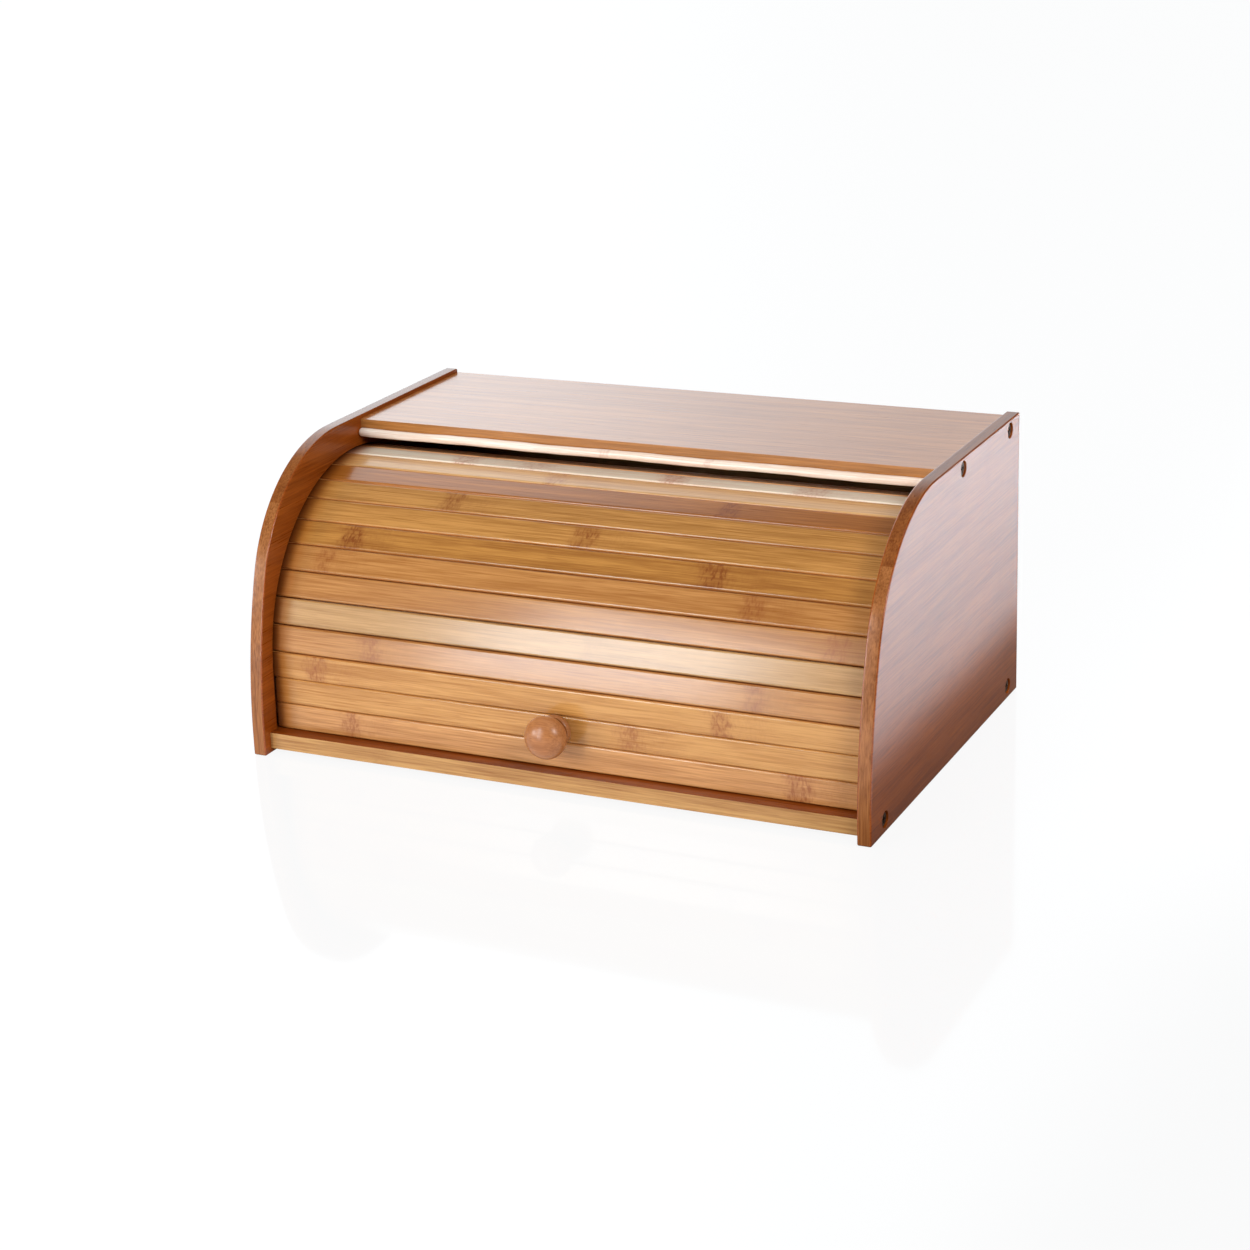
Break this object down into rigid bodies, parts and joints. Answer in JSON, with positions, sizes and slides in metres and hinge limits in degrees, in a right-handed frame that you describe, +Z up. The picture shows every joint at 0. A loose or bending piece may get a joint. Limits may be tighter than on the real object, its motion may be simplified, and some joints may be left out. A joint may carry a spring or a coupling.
{
  "type": "roll-top bread box",
  "caption": "Bamboo bread box with curved side panels and a slatted tambour front that rolls up over the top of its inside, with a round knob and a bead along the top board.",
  "frame": {"origin": "on the table, midway between the ends of the box and midway between the front of the knob and the rear edges of the side panels", "axes": "+X along the slats towards the right panel seen from the front, +Y from the front to the back, +Z up"},
  "size_m": [0.4, 0.2714, 0.18],
  "materials": {
    "bamboo_side": "red-brown stained bamboo, satin lacquer",
    "bamboo_board": "caramel bamboo, satin lacquer",
    "bamboo_slat": "honey to caramel bamboo, satin lacquer",
    "pale_bead": "pale bamboo, satin lacquer",
    "bamboo_back": "plain bamboo board, thin lacquer",
    "canvas": "plain woven cotton, unbleached",
    "knob_wood": "turned hardwood, satin lacquer",
    "screw_steel": "dark bronzed steel"
  },
  "bodies": {
    "case": {"side_panel_left": "bamboo_side", "side_panel_right": "bamboo_side", "top_board": "bamboo_board", "lip_rail": "pale_bead", "bottom_board": "bamboo_board", "back_panel": "bamboo_back", "case_screws_left": "screw_steel", "case_screws_right": "screw_steel"},
    "tambour": {"slat_01": "bamboo_slat", "slat_02": "bamboo_slat", "slat_03": "bamboo_slat", "slat_04": "bamboo_slat", "slat_05": "bamboo_slat", "slat_06": "bamboo_slat", "slat_07": "bamboo_slat", "slat_08": "bamboo_slat", "slat_09": "bamboo_slat", "slat_10": "bamboo_slat", "slat_11": "bamboo_slat", "slat_12": "bamboo_slat", "slat_13": "bamboo_slat", "slat_14": "bamboo_slat", "canvas_backing": "canvas", "knob": "knob_wood", "knob_screw": "screw_steel"}
  },
  "joints": [
    {"name": "tambour_roll", "type": "hinge", "parent": "case", "child": "tambour", "pos_m": [0, -0.00227, 0.0505], "axis": [-1, 0, 0], "range_deg": [0, 91]}
  ]
}
